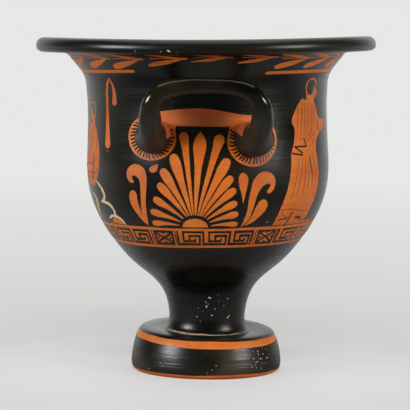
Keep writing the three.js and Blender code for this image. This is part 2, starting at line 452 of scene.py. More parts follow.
def palmette(around, mirror):
    centre = np.array([-12.3, 138.0])
    arc = np.radians(np.linspace(0, 180, 19))[:, None]
    half_round = np.column_stack([np.cos(arc), np.sin(arc)])
    paint("clay", centre + half_round * (12.4, 7.8), around, mirror)
    for lean_of, reach, wide in petals:
        way = math.radians(90 - 4.5 - lean_of)
        curl = math.copysign(min(abs(lean_of), 30) / 30, lean_of)
        out, side = np.array([math.cos(way), math.sin(way)]), np.array([math.sin(way), -math.cos(way)])
        begins = 1 / math.hypot(out[0] / 15.6, out[1] / 11.4)
        spots, widths = [], []
        swelling = (0.15, 0.36, 0.52, 0.72, 1.0) if reach > 70 else (0.18, 0.42, 0.68, 1.0, 0.90)
        for share, width in zip((0, 0.3, 0.62, 0.86, 1.0), swelling):
            far = begins + (reach - wide * 0.45 - begins) * share
            spots.append(centre + out * far + side * curl * (3.2 * share**2 - 1.6 * share) * reach / 55)
            widths.append(wide * width)
        if lean_of == 0:
            spots[2:] = [centre + out * reach * share for share in (0.62, 0.74, 0.85, 0.94, 1)]
            widths = [1.6] + [wide * share for share in (0.36, 0.54, 0.78, 1, 0.70, 0.05)]
        paint("clay", stroke(spots, widths), around, mirror)
    picture([
        ("gloss", [(-26.8, 138.2), (-24.2, 143.0), (-18.6, 146.2), (-12.3, 147.6), (-6.0, 146.4),
                   (-0.6, 143.2), (2.2, 138.2)], 1.5),
        ("gloss", [(-55, 137.3), (-31, 137.1), (-12, 137.4), (8, 136.9), (30, 137.2)],
         [0.5, 0.8, 0.9, 0.8, 0.5]),
    ], around, mirror)
    left_volute = shape((-60.0, 138), (-60.0, 138), (-58.8, 148), (-57.4, 160), (-55.2, 172), (-54.6, 181.5),
                        (-56.8, 188.5), (-61.5, 191.6), (-67, 192.3), (-72, 190.3), (-75.4, 186.2),
                        (-75.6, 181), (-73.4, 177.2), (-70.2, 175.6), (-67.4, 177.2), (-69.2, 179.2),
                        (-69.8, 181.2), (-67.6, 182.4), (-63.6, 180.6), (-61.6, 175), (-62.2, 163.5),
                        (-63.8, 153), (-63.6, 144))
    left_leaf = shape((-61.3, 138.4), (-61.3, 138.4), (-64.6, 150), (-66, 160.5), (-66.2, 167), (-70, 169.6),
                      (-74, 166.6), (-74.8, 159), (-71.8, 151.4), (-66.4, 143.6))
    left_drop = shape((-43.6, 193.2), (-43.6, 193.2), (-44, 188.6), (-46.6, 185.8), (-50, 185.6), (-52, 188),
                      (-50.4, 190.6))
    right_volute = shape((31.4, 137.4), (31.4, 137.4), (34, 144.5), (35.8, 153), (36.2, 162), (37.4, 170),
                         (39.4, 178), (43.4, 183.4), (48.6, 185.8), (54.4, 185.4), (59, 182.2),
                         (61.2, 176.8), (60.2, 171.6), (57.4, 167.8), (54.6, 166.9), (52.6, 168.6),
                         (54.4, 171.2), (55.8, 173.6), (54.6, 175.4), (51, 174.8), (47, 171.4), (44.2, 166),
                         (42.4, 159.4), (41.4, 153.6), (39.4, 146.2), (36.6, 141.6))
    right_leaf = shape((34.2, 138), (34.2, 138), (38.6, 143), (41.6, 148.8), (43.6, 154.6), (46.6, 160.2),
                       (50.2, 162), (53.9, 160.2), (55.4, 156), (53.4, 151), (48.8, 146.2), (43.2, 141.8))
    right_drop = shape((31.3, 157.6), (31.3, 157.6), (29.4, 166.2), (27.2, 173.3), (26.2, 180), (27.4, 184),
                       (30.4, 185.6), (33.6, 183.6), (35, 179.2), (34.2, 173.4), (32.8, 166.4))
    for outline in (left_volute, left_leaf, left_drop, right_volute, right_leaf, right_drop):
        paint("clay", outline, around, mirror)


# The bare panel behind each handle and the tongues round its two roots.
def handle_field(around, mirror):
    paint("clay", shape((-54, 236), (-54, 236), (-45, 237.4), (-40.5, 238.2), (-30, 239.4), (-14, 240.6),
                        (2, 240.2), (18, 237.4), (30, 235.2), (42, 234.5), (52, 234), (52, 234), (44, 216),
                        (18, 216), (18, 216), (18.6, 224.9), (18.6, 224.9), (0, 225.2), (-27.4, 225.7),
                        (-27.4, 225.7), (-28, 216), (-28, 216), (-50, 216), spacing=2.0), around, mirror)
    for middle, inner, outer, first, last in (((-50.4, 215.6), (14.6, 14.2), (23.6, 19.8), 124, 388),
                                              ((39.8, 213.2), (16.2, 15.2), (23.1, 22.7), 34, -212)):
        def spot(t, share):
            return np.array(middle) + [(r0 + (r1 - r0) * share) * f(t)
                                       for r0, r1, f in zip(inner, outer, (math.cos, math.sin))]
        turn = np.radians(np.linspace(first, last, 60))
        paint("clay", np.array([spot(t, 1) for t in turn] + [spot(t, 0) for t in turn[::-1]]), around, mirror)
        for t in np.radians(np.linspace(first, last, 27)[1:-1]) + brush.normal(0, 0.012, 25):
            slant = t + math.copysign(0.05, last - first)
            far = 0.70 + brush.normal(0, 0.04)
            paint("gloss", stroke([spot(t, -0.12), spot(t, far / 2), spot(slant, far)], [1.7, 1.6, 1.2]),
                  around, mirror)


palmette(0, 1)
handle_field(0, 1)
palmette(girth / 2, -1)
handle_field(girth / 2, -1)


# The figures on the right side: two cloaked youths who face each other.
def cloaked_youth(around, mirror):
    picture([
        ("clay", [(66.4, 137.8), (66.4, 137.8), (70.8, 154), (75.8, 174), (78.2, 192), (78.4, 200),
                  (78.4, 200), (82.4, 210), (83.6, 221), (80.2, 228.6), (85.8, 239), (93.4, 247.2),
                  (100.2, 246.2), (102.6, 249.4), (112.6, 249.4), (113.8, 245), (118.8, 238), (123.4, 231),
                  (130, 229.2), (141, 229.4), (141, 229.4), (138, 222.8), (127.5, 218.2), (120.5, 214.4),
                  (116.4, 208.6), (116.6, 199), (119, 188), (120.8, 175), (119.8, 164), (117, 152),
                  (114, 139.6), (114, 139.6), (128, 140), (130, 137.6), (130, 137.6)]),
        ("clay", [(102, 247), (99.4, 253), (99, 258.6), (102.4, 263.6), (108.8, 265.6), (115.2, 263.4),
                  (117.6, 258.8), (117.8, 255.6), (119.8, 253.2), (117.8, 252), (117.6, 249.8),
                  (114, 247.4)]),
        ("gloss", [(103.6, 251), (101.2, 254.8), (100.9, 258.6), (103.8, 262.4), (108.8, 264),
                   (113.6, 262.2), (115, 259.4), (112.2, 257.8), (111, 254), (107.8, 251)]),
        ("gloss", [(113.6, 257.2), (116, 257.6)], 0.7),
        ("gloss", [(115.2, 255.6), (116, 255.6)], 0.8),
        ("gloss", [(116.4, 250.8), (117.8, 251)], 0.5),
    ], around, mirror)
    for points in ([(96, 213), (99, 206)], [(99, 206), (83.4, 206)], [(83.4, 206), (92.6, 200.6)],
                   [(92.6, 198.6), (80, 200.4)]):
        rule("gloss", points, 1.35, around, mirror)
    paint("gloss", stroke([(119.4, 227), (121, 222), (124, 218.4)], [0.8, 1.1, 0.9]), around, mirror)
    for top, foot, width in (((88, 241), (86.5, 214), 0.7), ((94, 245), (91, 212), 0.8),
                             ((98, 244), (96.5, 216), 0.7), ((103, 243), (101.5, 220), 0.6),
                             ((108, 243), (107, 219), 0.6), ((112, 241), (112, 221), 0.6),
                             ((112, 217), (100, 210), 0.8), ((116, 213), (103, 205), 0.7),
                             ((110, 222), (99.5, 213), 0.7), ((93, 197), (87, 162), 0.7),
                             ((97, 198), (95, 164), 0.9), ((101, 198), (101.5, 168), 0.9),
                             ((104, 198), (109, 172), 0.9), ((108, 199), (114.5, 178), 0.7),
                             ((88, 196), (80, 160), 0.6)):
        middle = ((top[0] + foot[0]) / 2 + 0.9, (top[1] + foot[1]) / 2)
        paint("dilute", stroke([top, middle, foot], [0.4, width * 1.4, 0.4], spacing=3), around, mirror)
    picture([
        ("gloss", [(103.4, 197), (105.4, 188), (108.6, 176)], [0.4, 0.8, 0.4]),
        ("dilute", [(72.6, 151.4), (84, 151.6), (99, 149.2), (112, 148.2)], [0.6, 1.0, 1.0, 0.5]),
        ("dilute", [(73, 151), (75.6, 147), (80, 144.6)], 0.8),
        ("gloss", [(71.8, 142.4), (82.6, 143.6)], [0.9, 1.2]),
        ("gloss", [(87.2, 148), (84.6, 142), (82.2, 137.2)], 1.5),
        ("gloss", [(94, 144.6), (99, 144.8), (104, 142.6), (104.4, 141.2), (98, 142), (93.6, 142.8)]),
        ("gloss", [(104, 139.4), (116, 141.6), (126, 142.6)], [0.6, 1.0, 0.6]),
    ], around, mirror)


def hanging_sash(around, mirror):
    picture([
        ("clay", [(-95, 265.6), (-99.4, 260.6), (-101.6, 248), (-101.8, 230), (-101.4, 208.4)],
         [1.2, 3.2, 3.8, 4.8, 8.0]),
        ("clay", [(-95.4, 265.8), (-91.8, 259), (-90.6, 252), (-91, 245)], [1.0, 2.8, 4.8, 6.2]),
    ], around, mirror)
    for at in (-103.4, -101.2, -98.8):
        paint("clay", stroke([(at, 202.6), (at - 0.2, 201.4)], [0.9, 0.5]), around, mirror)


cloaked_youth(0, 1)
cloaked_youth(girth / 2 - 10, -1)
hanging_sash(girth / 2 + 8, 1)


# The figures on the left side: a youth seated on rocks under a sash and a cloaked one before him.
def seated_youth(around, mirror):
    picture([
        ("clay", [(-131, 226), (-124, 222), (-119.6, 213), (-116.4, 204), (-115.2, 192), (-117.8, 182),
                  (-123.4, 174), (-128, 170.6), (-140, 171), (-152, 173), (-160, 170), (-164, 158),
                  (-166, 143), (-166, 143), (-178, 142.4), (-178, 145), (-172, 147.4), (-172.6, 160),
                  (-176, 178), (-174, 188), (-166, 193), (-152, 196), (-146, 203), (-150, 212), (-160, 208),
                  (-161.6, 211), (-150, 218), (-141, 224)]),
        ("clay", [(-127.6, 225), (-127, 230), (-123.8, 235), (-124.4, 241.4), (-130, 245), (-136.6, 242.6),
                  (-138.8, 237.6), (-141.2, 234.6), (-139.2, 233.2), (-138.8, 230), (-134.6, 228.6),
                  (-134, 225)]),
        ("gloss", [(-126, 235.4), (-126.2, 240.6), (-130.4, 243.2), (-135.4, 241), (-135.8, 238.8),
                   (-132.6, 237.6), (-131.4, 233.4), (-128.6, 232.2)]),
        ("gloss", [(-137.2, 236.8), (-135, 236.8)], 0.7),
    ], around, mirror)
    for line in ([(-121, 196), (-130, 190), (-146, 190), (-160, 186)],
                 [(-118, 186), (-128, 181), (-146, 182), (-166, 176)],
                 [(-134, 176), (-150, 178), (-164, 168)], [(-136, 219), (-134, 208), (-138, 200)],
                 [(-124, 216), (-122, 206), (-126, 199)], [(-148, 196), (-154, 190), (-168, 185)]):
        paint("dilute", stroke(line, [0.4] + [1.0] * (len(line) - 2) + [0.4]), around, mirror)
    paint("gloss", stroke([(-127.6, 200), (-128.6, 188), (-131.6, 177)], [0.8, 3.0, 4.0]), around, mirror)


def rocks(around, mirror):
    ledges = ([(-121.6, 174.6), (-113.4, 168.8), (-110.6, 163.2), (-113.6, 158.8), (-119.6, 157)],
              [(-119.6, 157), (-108.4, 156), (-102, 152.6), (-100.8, 148), (-102.8, 144)],
              [(-139.5, 164), (-131, 158.4), (-134, 152), (-138, 146), (-137.6, 140.8)])
    for ledge, kind, wide in zip(ledges, ("white", "white", "yellow"), (3.0, 3.0, 5.5)):
        paint(kind, stroke(ledge, [1.4] + [wide] * (len(ledge) - 2) + [1.4]), around, mirror)
        lower = [(a - 1.2, z - 0.9) for a, z in ledge[1:-1]]
        paint("yellow", stroke(lower, [0.5] + [1.3] * (len(lower) - 2) + [0.5]), around, mirror)
    picture([
        ("clay", [(-113, 137.8), (-113, 137.8), (-109.6, 141.6), (-103.4, 143.4), (-97, 141.8), (-92, 137.8),
                  (-92, 137.8)]),
        ("white", [(-115.4, 141.8), (-107.4, 144.6), (-100, 144.6), (-93.6, 141.8), (-90.4, 138)],
         [1.0, 2.4, 2.6, 2.4, 1.4]),
    ], around, mirror)


hanging_sash(0, 1)
seated_youth(0, 1)
rocks(0, 1)
cloaked_youth(-girth / 2 + 16, 1)


def skin():
    """Cuts the unrolled surface along the painted outlines. Gives corners, triangles and their coats."""
    columns = np.linspace(-girth / 2, girth / 2, steps_round + 1)
    corners = [np.column_stack([np.tile(columns, len(climb)), np.repeat(climb, len(columns))])]
    faces, count = [], len(corners[0])
    for kind, outline in coats:
        faces.append(list(range(count, count + len(outline))))
        corners.append(outline)
        count += len(outline)
    along = np.diff(outer_line, axis=0)
    bearing = np.unwrap(np.arctan2(along[:, 1], along[:, 0]))
    bent_rows = np.flatnonzero(np.abs(np.diff(bearing)) > 0.1) + 1
    edges = [(row * len(columns) + k, row * len(columns) + k + 1) for row in bent_rows
             for k in range(steps_round)]
    spots = [Vector(corner) for corner in np.vstack(corners)]
    spots, _, triangles, _, _, owners = delaunay_2d_cdt(spots, edges, faces, 1, 1e-4, True)
    kept = [(triangle, coats[max(owner)][0]) for triangle, owner in zip(triangles, owners) if 0 in owner]
    return np.array(spots), np.array([t for t, _ in kept]), np.array([kind for _, kind in kept])


def on_surface(spots):
    """Places and outward normals of the unrolled spots on the vessel as it is, leaning and bent."""
    slope = np.gradient(outer_line * 1000, climb, axis=0)
    radius, level = (np.interp(spots[:, 1], climb, outer_line[:, k]) for k in (0, 1))
    out, up = (np.interp(spots[:, 1], climb, s) for s in (slope[:, 1], -slope[:, 0]))
    turn = spots[:, 0] / (wall_radius * 1000)
    facing = np.column_stack([np.sin(turn), -np.cos(turn), np.zeros(len(turn))])
    sideways = np.column_stack([np.cos(turn), np.sin(turn), np.zeros(len(turn))])
    plain = facing * radius[:, None] + np.outer(level, (0, 0, 1))
    upward = facing * -up[:, None] + np.outer(out, (0, 0, 1))
    reach = 1e-5
    round_it = by_hand(plain + sideways * reach) - by_hand(plain - sideways * reach)
    along_it = by_hand(plain + upward * reach) - by_hand(plain - upward * reach)
    normal = np.cross(round_it, along_it)
    return by_hand(plain), normal / np.linalg.norm(normal, axis=1)[:, None]


def coat(name, spots, triangles, material, lift):
    """A closed thin shell over some of the triangles, joined at the vessel's back and in its middle."""
    spots = np.round(spots, 4)
    spots[:, 0] = np.where(spots[:, 0] > girth / 2 - 1e-3, -girth / 2, spots[:, 0])
    spots[:, 0] = np.where(spots[:, 1] > climb[-1] - 1e-3, 0, spots[:, 0])
    used, place = np.unique(spots[triangles].reshape(-1, 2), axis=0, return_inverse=True)
    place = place.reshape(-1, 3)
    place = place[(place[:, 0] != place[:, 1]) & (place[:, 1] != place[:, 2]) & (place[:, 2] != place[:, 0])]
    at, normal = on_surface(used)
    count = len(used)
    edges = np.vstack([place[:, [0, 1]], place[:, [1, 2]], place[:, [2, 0]]])
    known = set(map(tuple, edges.tolist()))
    rim = np.array([edge for edge in edges.tolist() if (edge[1], edge[0]) not in known]).reshape(-1, 2)
    sides = np.vstack([np.column_stack([rim[:, 1], rim[:, 0], rim[:, 0] + count]),
                       np.column_stack([rim[:, 1], rim[:, 0] + count, rim[:, 1] + count])])
    faces = np.vstack([place, place[:, ::-1] + count, sides])
    mesh = bpy.data.meshes.new(name)
    mesh.from_pydata(np.vstack([at + normal * lift, at - normal * slip_root]).tolist(), [], faces.tolist())
    across = normal[rim[:, 0]] if len(rim) else np.zeros((0, 3))
    corner_normals = np.vstack([normal[place.ravel()], -normal[place[:, ::-1].ravel()],
                                np.repeat(np.vstack([across, across]), 3, axis=0)])
    mesh.normals_split_custom_set(corner_normals.tolist())
    mesh.materials.append(material)
    piece = bpy.data.objects.new(name, mesh)
    bpy.context.scene.collection.objects.link(piece)
    return piece


def gloss_material():
    """Black gloss slip: dark and glassy, brown where it lies thin, combed by the brush and the wheel, with
    painted shade on the wall behind each handle.
    """
    material, shader, links, add, noise, ramp, mix, bump = new_material("black_gloss")
    thin = ramp(noise(11, 4, stretch=(1, 1, 1.6)), (0.42, (0,)), (0.68, (0.75,)))
    combed = noise(16, 4, stretch=(0.5, 0.5, 14), seed=3.0)
    depth = mix(thin, (0.0018, 0.0021, 0.0016), (0.022, 0.017, 0.006))
    streaked = mix(ramp(combed, (0.5, (0,)), (0.72, (0.5,))), depth, (0.007, 0.007, 0.005))
    x, y, level = add("ShaderNodeSeparateXYZ", {0: add("ShaderNodeTexCoord").outputs["Object"]}).outputs
    worn = ramp(level, (0.034, (0.7,)), (0.048, (0,)))
    patchy = mix(ramp(noise(20, 4, seed=12.0), (0.42, (0,)), (0.60, (1,))), (0.005, 0.005, 0.004),
                 (0.052, 0.038, 0.017))
    # Painted shade: the gloss on the wall behind each handle's arch, above the bare panel, is darkened to
    # black as if in the shadow of the handle and lip.
    beside = ramp(add("ShaderNodeMath", {0: x}, operation="ABSOLUTE").outputs[0], (0.020, (1,)),
                  (0.046, (0,)))
    painted_wall_shade = mix(ramp(level, (0.230, (0,)), (0.238, (1,)), (0.256, (1,)), (0.266, (0,))), (0, 0, 0), beside)
    links.new(mix(painted_wall_shade, mix(worn, streaked, patchy), (0.0008, 0.0008, 0.0005)), shader.inputs["Base Color"])
    rubbed = add("ShaderNodeMapRange", {"Value": level, "From Min": 0.034, "From Max": 0.048, "To Min": 0.08,
                                        "To Max": 0})
    rough = ramp(noise(9, 4, seed=6.0), (0.32, (0.17,)), (0.72, (0.29,)))
    turned = ramp(noise(18, 3, stretch=(0.4, 0.4, 34), seed=4.0), (0.35, (0,)), (0.72, (0.09,)))
    touched = mix(ramp(level, (0.284, (0,)), (0.290, (1,))), turned, (0.12, 0.12, 0.12))
    both = add("ShaderNodeMath", {0: rough, 1: touched}, operation="ADD").outputs[0]
    links.new(add("ShaderNodeMath", {0: both, 1: rubbed.outputs[0]}, operation="ADD").outputs[0],
              shader.inputs["Roughness"])
    fine = bump(noise(420, 3, seed=9.0), 0.12, 0.0002)
    scratches = noise(26, 4, stretch=(0.6, 0.6, 9), seed=14.0)
    scratched = bump(mix(worn, (0.5, 0.5, 0.5), scratches), 0.55, 0.0012, fine)
    links.new(bump(combed, 0.06, 0.0008, scratched), shader.inputs["Normal"])
    return material


def brown_material(name, colour, other, rough):
    material, shader, links, add, noise, ramp, mix, bump = new_material(name)
    links.new(mix(ramp(noise(220, 3), (0.35, (0,)), (0.65, (1,))), colour, other),
              shader.inputs["Base Color"])
    shader.inputs["Roughness"].default_value = rough
    links.new(bump(noise(900, 2), 0.2, 0.0002), shader.inputs["Normal"])
    return material


black_gloss = gloss_material()
skins = {"gloss": ("gloss_slip", black_gloss, slip_lift, "black_gloss"),
         "dilute": ("brown_lines", brown_material("thinned_slip", (0.19, 0.046, 0.009), (0.31, 0.085, 0.017),
        0.55), 0.00010, "black_gloss"), "white": ("white_lines",
        brown_material("white_clay", (0.68, 0.49, 0.30), (0.82, 0.66, 0.46), 0.6), 0.00020, "added_white"),
         "yellow": ("yellow_lines", brown_material("yellow_wash", (0.46, 0.36, 0.17), (0.60, 0.50, 0.30),
        0.6), 0.00018, "added_white"), "worn": ("scraped_ring",
        brown_material("scraped_edge", (0.30, 0.20, 0.12), (0.46, 0.36, 0.26), 0.6), 0.00006, "clay")}
spots, triangles, kinds = skin()
for kind, (name, material, lift, slot) in skins.items():
    piece = coat(name, spots, triangles[kinds == kind], material, lift)
    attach(piece, "root")
    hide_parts("krater")


# ----------------------------------------------------------------------------------------------------
# The handles
# Two round bars of clay were bent into loops, pressed on to the wall while soft and smoothed out where
# they meet it. They stand out and turn up to the lip, one at the front and one at the back. They are
# gloss all over but for the inner side of the roots, which is bare like the panel between them.

bar_radius = 0.0070
root_spread = 0.0088
root_spread_length = 0.034
root_web = 0.0050
web_starts, web_full, web_fades, web_ends = 0.212, 0.224, 0.232, 0.250
fillet_size, fillet_reach = 0.0006, 0.0015
lump_depth = 0.0022
bare_reach, bare_starts = 0.0150, 0.2155
handle_line = np.array([(-45.6, -94.6, 214.5), (-48.2, -104, 215), (-50.0, -119, 217.4), (-50.8, -133, 224),
                        (-50.2, -144, 235), (-48, -149.2, 245), (-42.5, -150, 253), (-33, -149, 258.2),
                        (-16, -147.6, 261.2), (0, -147.4, 261.6), (16, -147.6, 260.9), (31, -148.4, 258),
                        (41, -149.6, 252.4), (46, -148.8, 244.5), (48.2, -142.6, 233), (47.2, -132.6, 222.4),
                        (44.6, -118.5, 215.4), (41.4, -105.6, 212.8), (38.2, -97.4, 212.5)]) / 1000


def handle_tree():
    """Sweeps a round section along a line, spread near the wall. Marks the bare part of the roots."""
    sizes = ("Bar radius", "Spread", "Spread length", "Web", "Wall radius")
    tree, given, add, maths = new_tree("Handle", [(label, "Float") for label in sizes]
                                       + [("Material", "Material")])
    path = add("GeometryNodeMeshToCurve", given["Geometry"]).outputs[0]
    here = add("GeometryNodeInputPosition").outputs[0]
    kept = add("GeometryNodeStoreNamedAttribute", path, None, "middle", here,
               data_type="FLOAT_VECTOR").outputs[0]
    section = add("GeometryNodeCurvePrimitiveCircle", 28, given["Bar radius"]).outputs[0]
    bar = add("GeometryNodeCurveToMesh", kept, section, 1, True).outputs[0]
    middle = add("GeometryNodeInputNamedAttribute", "middle", data_type="FLOAT_VECTOR").outputs[0]
    x, y, z = add("ShaderNodeSeparateXYZ", here).outputs
    middle_x, _, middle_z = add("ShaderNodeSeparateXYZ", middle).outputs
    reach = maths("SQRT", maths("ADD", maths("MULTIPLY", x, x), maths("MULTIPLY", y, y)))
    off_wall = maths("MAXIMUM", maths("SUBTRACT", reach, given["Wall radius"]), 0)
    side = maths("SIGN", middle_x)
    inner = maths("DIVIDE", maths("MULTIPLY", maths("SUBTRACT", middle_x, x), side), given["Bar radius"])
    low = add("ShaderNodeMapRange", z, web_starts, web_full, 0, given["Web"],
              interpolation_type="SMOOTHSTEP").outputs[0]
    high = add("ShaderNodeMapRange", z, web_fades, web_ends, 1, 0, interpolation_type="SMOOTHSTEP").outputs[0]
    web = maths("MULTIPLY", maths("MULTIPLY", low, high), maths("MAXIMUM", inner, 0))
    cone = add("ShaderNodeMapRange", off_wall, 0.004, given["Spread length"], given["Spread"], 0,
               interpolation_type="SMOOTHSTEP").outputs[0]
    fall = maths("ADD", 1, maths("DIVIDE", off_wall, fillet_reach))
    fillet = maths("ADD", web, maths("DIVIDE", fillet_size, maths("MULTIPLY", fall, fall)))
    below = maths("MAXIMUM", maths("DIVIDE", maths("SUBTRACT", middle_z, z), given["Bar radius"]), 0)
    uneven = maths("MULTIPLY_ADD", below, -0.30, maths("MULTIPLY_ADD", side, 0.06, 1))
    spread = maths("MULTIPLY_ADD", cone, uneven, fillet)
    lumps = add("ShaderNodeTexNoise", here, 38, 2).outputs[0]
    swell = maths("ADD", spread, maths("MULTIPLY", maths("SUBTRACT", lumps, 0.5), lump_depth))
    share = maths("DIVIDE", swell, given["Bar radius"])
    outward = add("ShaderNodeVectorMath", here, middle, operation="SUBTRACT").outputs[0]
    moved = add("ShaderNodeVectorMath", operation="SCALE")
    tree.links.new(outward, moved.inputs[0])
    tree.links.new(share, moved.inputs["Scale"])
    near = maths("DIVIDE", maths("SUBTRACT", bare_reach, off_wall), 0.006)
    above = maths("DIVIDE", maths("SUBTRACT", z, bare_starts), 0.003)
    inside = maths("MULTIPLY", maths("SUBTRACT", inner, 0.30), 2)
    bare = maths("MULTIPLY_ADD", maths("MINIMUM", maths("MINIMUM", inside, near), above), 0.5, 0.5)
    marked = add("GeometryNodeStoreNamedAttribute", bar, None, "bare", bare).outputs[0]
    spreading = add("GeometryNodeSetPosition", marked, None, None, moved.outputs[0]).outputs[0]
    smooth = add("GeometryNodeSetShadeSmooth", spreading, None, True).outputs[0]
    close_tree(tree, add, smooth, given["Material"])
    return tree


def handle_material():
    """The same gloss, with bare clay where the roots are marked bare and a painted grey sheen low on the
    legs.
    """
    material, shader, links, add, noise, ramp, mix, bump = new_material("handle_gloss")
    marked = add("ShaderNodeAttribute", attribute_name="bare").outputs["Fac"]
    waver = add("ShaderNodeMath", {0: noise(180, 2), 1: 0.12, 2: -0.06}, operation="MULTIPLY_ADD").outputs[0]
    ragged = add("ShaderNodeMath", {0: marked, 1: waver}, operation="ADD").outputs[0]
    bare = ramp(ragged, (0.49, (0,)), (0.52, (1,)))
    thin = ramp(noise(22, 4), (0.38, (0,)), (0.66, (0.7,)))
    dark = mix(thin, (0.0022, 0.0024, 0.0018), (0.026, 0.021, 0.007))
    clay = ramp(noise(60, 4), (0.30, (0.46, 0.100, 0.015)), (0.70, (0.66, 0.20, 0.050)))
    level = add("ShaderNodeSeparateXYZ", {0: add("ShaderNodeTexCoord").outputs["Object"]}).outputs["Z"]
    # Painted sheen: low on the legs and at the roots the gloss is given a greyer colour that stands in for a
    # dull reflection; the roughness there is raised as well.
    painted_root_sheen = mix(ramp(level, (0.218, (0.85,)), (0.250, (0,))), dark, (0.026, 0.024, 0.017))
    links.new(mix(bare, painted_root_sheen, clay), shader.inputs["Base Color"])
    dull = add("ShaderNodeMapRange", {"Value": level, "From Min": 0.224, "From Max": 0.244, "To Min": 0.26,
                                      "To Max": 0})
    rough = ramp(noise(14, 4, seed=6.0), (0.32, (0.11,)), (0.72, (0.16,)))
    links.new(add("ShaderNodeMath", {0: rough, 1: dull.outputs[0]}, operation="ADD").outputs[0],
              shader.inputs["Roughness"])
    links.new(bump(noise(120, 3, seed=9.0), 0.10, 0.0008), shader.inputs["Normal"])
    return material


handle_gloss = handle_material()
handle_sizes = {"Bar radius": bar_radius, "Spread": root_spread, "Spread length": root_spread_length,
                "Web": root_web, "Wall radius": wall_radius, "Material": handle_gloss}
for side, turned in (("front", (1, 1, 1)), ("back", (-1, -1, 1))):
    handle = grow("handle_" + side, line_mesh("handle_path", smooth_line(handle_line * turned, 0.0036)),
                  handle_tree(), handle_sizes)
    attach(handle, "root")
    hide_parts("krater")


# ----------------------------------------------------------------------------------------------------
# The chips
# Where the gloss was knocked off in small flakes the pale clay shows: a few specks on the stem, more on
# the right of the foot, and a nick in the lip. Each is a thin flake-shaped patch level with the slip.

chip_places = [(-22.5, 291.2, 1.1), (-21.7, 290.4, 1.0), (-27, 290.6, 0.7), (-43, 290.6, 0.7),
               (-17.5, 290, 0.5), (4.7, 70, 1.5), (9, 69.6, 0.8), (53.7, 68.5, 1.1), (-1.9, 62, 1.1),
               (2.5, 64.2, 0.7), (13.2, 54.1, 1), (-28.3, 52.5, 0.9), (-24, 60.4, 0.6), (46, 62.5, 0.7),
               (62, 52.1, 1), (66, 53.4, 0.9), (-4, 66, 0.5), (-12, 57.6, 0.5), (22, 59.8, 0.5),
               (30, 66.4, 0.5), (26, 73, 0.6), (-18, 48.6, 0.5), (58.8, 141.2, 1), (75, 26, 0.6),
               (84, 25.4, 0.8), (91, 30, 0.7), (84, 22.6, 0.7), (94, 22, 0.9), (69, 24.4, 0.5),
               (74, 18.6, 0.7), (83, 18.2, 0.6), (88, 17.6, 0.8), (78, 14.6, 0.9), (81, 15.2, 0.7),
               (68, 13, 0.5), (70, 10.4, 0.6), (76, 12, 0.7), (78, 9, 0.7), (102, 17.4, 0.8), (104, 26, 0.6),
               (90, 12.6, 0.6), (61, 23, 0.5), (98, 12, 0.6), (109, 20, 0.6), (64, 19, 0.5), (88, 8, 0.5),
               (96, 28, 0.5), (14, 13.4, 0.5), (8, 9.4, 0.6), (2, 6.2, 0.6), (-66, 10.5, 0.7),
               (-92, 6.2, 0.8), (-70, 12.8, 0.6)]


def chip_tree():
    """Puts one flat flake on each point, turned to the point's normal and sized by its size."""
    tree, given, add, maths = new_tree(
        "Chips", [("Seed", "Int"), ("Thickness", "Float"), ("Material", "Material")])
    size = add("GeometryNodeInputNamedAttribute", "size", data_type="FLOAT").outputs[0]
    facing = add("GeometryNodeInputNamedAttribute", "facing", data_type="FLOAT_VECTOR").outputs[0]
    turn = add("FunctionNodeAlignRotationToVector", None, None, facing, axis="Z").outputs[0]
    spin = add("FunctionNodeRandomValue", 0, math.tau, None, given["Seed"], data_type="FLOAT").outputs[1]
    spun = add("FunctionNodeRotateRotation", turn,
               add("FunctionNodeAxisAngleToRotation", (0, 0, 1), spin).outputs[0],
               rotation_space="LOCAL").outputs[0]
    stretch = add("FunctionNodeRandomValue", 0.6, 1.6, None, maths("ADD", given["Seed"], 1),
                  data_type="FLOAT").outputs[1]
    scale = add("ShaderNodeCombineXYZ", maths("MULTIPLY", size, stretch), size, given["Thickness"]).outputs[0]
    flake = add("GeometryNodeMeshIcoSphere", 1, 2).outputs[0]
    rough = add("ShaderNodeTexNoise", add("GeometryNodeInputPosition").outputs[0], 2.3, 2).outputs["Color"]
    jag = add("ShaderNodeVectorMath", rough, (0.5, 0.5, 0.5), operation="SUBTRACT").outputs[0]
    jagged = add("GeometryNodeSetPosition", flake, None, None, jag).outputs[0]
    laid = add("GeometryNodeInstanceOnPoints", given["Geometry"], None, jagged, None, None, spun,
               scale).outputs[0]
    close_tree(tree, add, laid, given["Material"])
    return tree


chip_clay = brown_material("chipped_clay", (0.50, 0.40, 0.26), (0.82, 0.74, 0.58), 0.7)
to_top = slice(0, outer_line[:, 1].argmax() + 1)
chip_spots = np.array([(a, np.interp(z / 1000, outer_line[to_top, 1], climb[to_top]))
                       for a, z, _ in chip_places])
chip_at, chip_facing = on_surface(chip_spots)
chip_points = line_mesh("chip_points", chip_at + chip_facing * 0.00009)
chip_sizes = [size / 1500 for _, _, size in chip_places]
chip_points.attributes.new("size", "FLOAT", "POINT").data.foreach_set("value", chip_sizes)
chip_points.attributes.new("facing", "FLOAT_VECTOR", "POINT").data.foreach_set("vector", chip_facing.ravel())
chips = grow("chips", chip_points, chip_tree(), {"Seed": 5, "Thickness": 0.00008, "Material": chip_clay},
             placed=True)
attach(chips, "root")
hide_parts("krater")


# ----------------------------------------------------------------------------------------------------
# The studio
# A pale floor that runs into an even pale backdrop. The floor glows with painted light, dimmer round the
# vessel than far off, and is painted dark towards the front for reflections and bounced light. Two soft boxes
# at the front corners show only as highlights in the gloss, and two low fills, a high front light and a wide
# one overhead light the vessel.
# The camera looks at the front handle from the height of the lip.

camera_distance = 1.850
camera_height = 0.302
camera_tilt = math.radians(4.72)
camera_roll = math.radians(0.82)
camera_lens = 179.6
camera_shift = 0.0037


